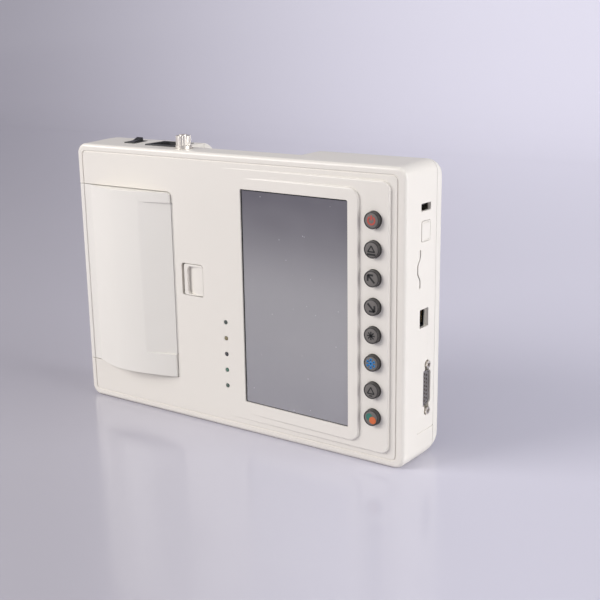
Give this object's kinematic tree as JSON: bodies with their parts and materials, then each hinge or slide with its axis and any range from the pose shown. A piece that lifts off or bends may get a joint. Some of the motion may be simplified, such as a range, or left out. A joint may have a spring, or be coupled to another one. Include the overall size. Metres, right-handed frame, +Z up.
{
  "type": "ecg machine",
  "caption": "Portable electrocardiograph with a raised display, a key column, a hinged strip-printer door and side sockets, standing on its long edge.",
  "frame": {"origin": "middle of the flat lower edge of the case, halfway along its width and halfway between the front face and the rear wall", "axes": "+X to the right along the width, -Y out of the front panel, +Z up"},
  "size_m": [0.2994, 0.0645, 0.2164],
  "materials": {
    "case_front": "fine satin moulded ABS",
    "case_rear": "fine satin moulded ABS",
    "door": "fine satin moulded ABS",
    "inner_plastic": "light grey",
    "key_grey": "dark grey moulded, printed symbol on the cap",
    "display_glass": "glossy window in front of the unlit display",
    "foam": "closed-cell foam",
    "panel": "liquid-crystal panel",
    "sheet_steel": "zinc-plated sheet",
    "steel": "turned steel",
    "spring_steel": "spring wire",
    "nickel": "nickel-plated",
    "brass": "plain brass",
    "circuit_board": "green board",
    "black_plastic": "black",
    "socket_white": "white",
    "light_lens": "translucent rods",
    "rubber_black": "smooth rubber",
    "gear_plastic": "acetal",
    "paper": "thermal paper",
    "ceramic": "thermal print head strip",
    "aluminium": "plain",
    "battery_wrap": "dark wrap"
  },
  "bodies": {
    "case": {"front_case": "case_front", "rear_case": "case_rear", "case_screws": "nickel", "feet": "rubber_black", "battery_pack": "battery_wrap", "display_glass": "display_glass", "display_foam": "foam", "display_panel": "panel", "display_frame": "sheet_steel", "key_board": "circuit_board", "key_switches": "black_plastic", "status_lights": "light_lens", "light_board": "circuit_board", "hinge_pins": "steel", "idler_pin": "steel", "feed_motor": "sheet_steel", "drive_plate": "sheet_steel", "paper_bay": "inner_plastic", "print_head": "ceramic", "head_sink": "aluminium", "head_springs": "spring_steel", "tear_bar": "steel", "latch_spring": "spring_steel", "main_board": "circuit_board", "board_pillars": "brass", "ecg_board": "circuit_board", "ecg_shield": "sheet_steel", "patient_port": "nickel", "port_standoffs": "nickel", "lan_jack": "nickel", "usb_jack": "nickel", "card_reader": "sheet_steel", "port_cover": "socket_white", "mains_inlet": "black_plastic", "inlet_pins": "brass", "power_switch": "black_plastic", "ground_post": "nickel", "power_supply": "sheet_steel"},
    "door": {"printer_door": "door", "platen_bushes": "brass"},
    "platen": {"platen_roller": "rubber_black", "platen_shaft": "steel", "platen_gear": "gear_plastic"},
    "idler": {"idler_gear": "gear_plastic"},
    "pinion": {"motor_pinion": "brass"},
    "roll": {"paper_roll": "paper", "paper_spindle": "inner_plastic"},
    "latch": {"latch_button": "case_front", "latch_bar": "inner_plastic"},
    "rocker": {"switch_rocker": "black_plastic"},
    "nut": {"ground_nut": "nickel"},
    "hatch": {"battery_hatch": "case_rear"},
    "key_1": {"key_1": "key_grey"},
    "key_2": {"key_2": "key_grey"},
    "key_3": {"key_3": "key_grey"},
    "key_4": {"key_4": "key_grey"},
    "key_5": {"key_5": "key_grey"},
    "key_6": {"key_6": "key_grey"},
    "key_7": {"key_7": "key_grey"},
    "key_8": {"key_8": "key_grey"}
  },
  "joints": [
    {"name": "door_hinge", "type": "hinge", "parent": "case", "child": "door", "pos_m": [-0.1431, -0.016, 0.103], "axis": [0, 0, -1], "range_deg": [0, 95]},
    {"name": "platen_spin", "type": "hinge", "parent": "door", "child": "platen", "pos_m": [-0.0625, -0.0195, 0.108], "axis": [0, 0, 1], "continuous": true},
    {"name": "idler_spin", "type": "hinge", "parent": "case", "child": "idler", "pos_m": [-0.07143, -0.00515, 0.0439], "axis": [0, 0, 1], "continuous": true},
    {"name": "pinion_spin", "type": "hinge", "parent": "case", "child": "pinion", "pos_m": [-0.0735, 0.0092, 0.0439], "axis": [0, 0, 1], "continuous": true},
    {"name": "roll_spin", "type": "hinge", "parent": "case", "child": "roll", "pos_m": [-0.1095, -0.006, 0.108], "axis": [0, 0, 1], "continuous": true},
    {"name": "latch_slide", "type": "slide", "parent": "case", "child": "latch", "axis": [-1, 0, 0], "range_m": [0, 0.002], "stiffness_N_per_m": 500, "springref_m": -0.004, "deforming": ["latch_spring"]},
    {"name": "switch_tilt", "type": "hinge", "parent": "case", "child": "rocker", "pos_m": [-0.105, -0.003, 0.205], "axis": [-1, 0, 0], "range_deg": [0, 14]},
    {"name": "nut_turn", "type": "hinge", "parent": "case", "child": "nut", "pos_m": [-0.0465, -0.015, 0.2122], "axis": [0, 0, 1], "continuous": true},
    {"name": "hatch_slide", "type": "slide", "parent": "case", "child": "hatch", "axis": [0, 1, 0], "range_m": [0, 0.03]},
    {"name": "key_1_press", "type": "slide", "parent": "case", "child": "key_1", "axis": [0, 1, 0], "range_m": [0, 0.0006], "stiffness_N_per_m": 400, "springref_m": -0.002},
    {"name": "key_2_press", "type": "slide", "parent": "case", "child": "key_2", "axis": [0, 1, 0], "range_m": [0, 0.0006], "stiffness_N_per_m": 400, "springref_m": -0.002},
    {"name": "key_3_press", "type": "slide", "parent": "case", "child": "key_3", "axis": [0, 1, 0], "range_m": [0, 0.0006], "stiffness_N_per_m": 400, "springref_m": -0.002},
    {"name": "key_4_press", "type": "slide", "parent": "case", "child": "key_4", "axis": [0, 1, 0], "range_m": [0, 0.0006], "stiffness_N_per_m": 400, "springref_m": -0.002},
    {"name": "key_5_press", "type": "slide", "parent": "case", "child": "key_5", "axis": [0, 1, 0], "range_m": [0, 0.0006], "stiffness_N_per_m": 400, "springref_m": -0.002},
    {"name": "key_6_press", "type": "slide", "parent": "case", "child": "key_6", "axis": [0, 1, 0], "range_m": [0, 0.0006], "stiffness_N_per_m": 400, "springref_m": -0.002},
    {"name": "key_7_press", "type": "slide", "parent": "case", "child": "key_7", "axis": [0, 1, 0], "range_m": [0, 0.0006], "stiffness_N_per_m": 400, "springref_m": -0.002},
    {"name": "key_8_press", "type": "slide", "parent": "case", "child": "key_8", "axis": [0, 1, 0], "range_m": [0, 0.0006], "stiffness_N_per_m": 400, "springref_m": -0.002}
  ],
  "couplings": [
    {"joint": "idler_spin", "follows": "platen_spin", "ratio": -0.61538},
    {"joint": "pinion_spin", "follows": "platen_spin", "ratio": 1.6}
  ]
}
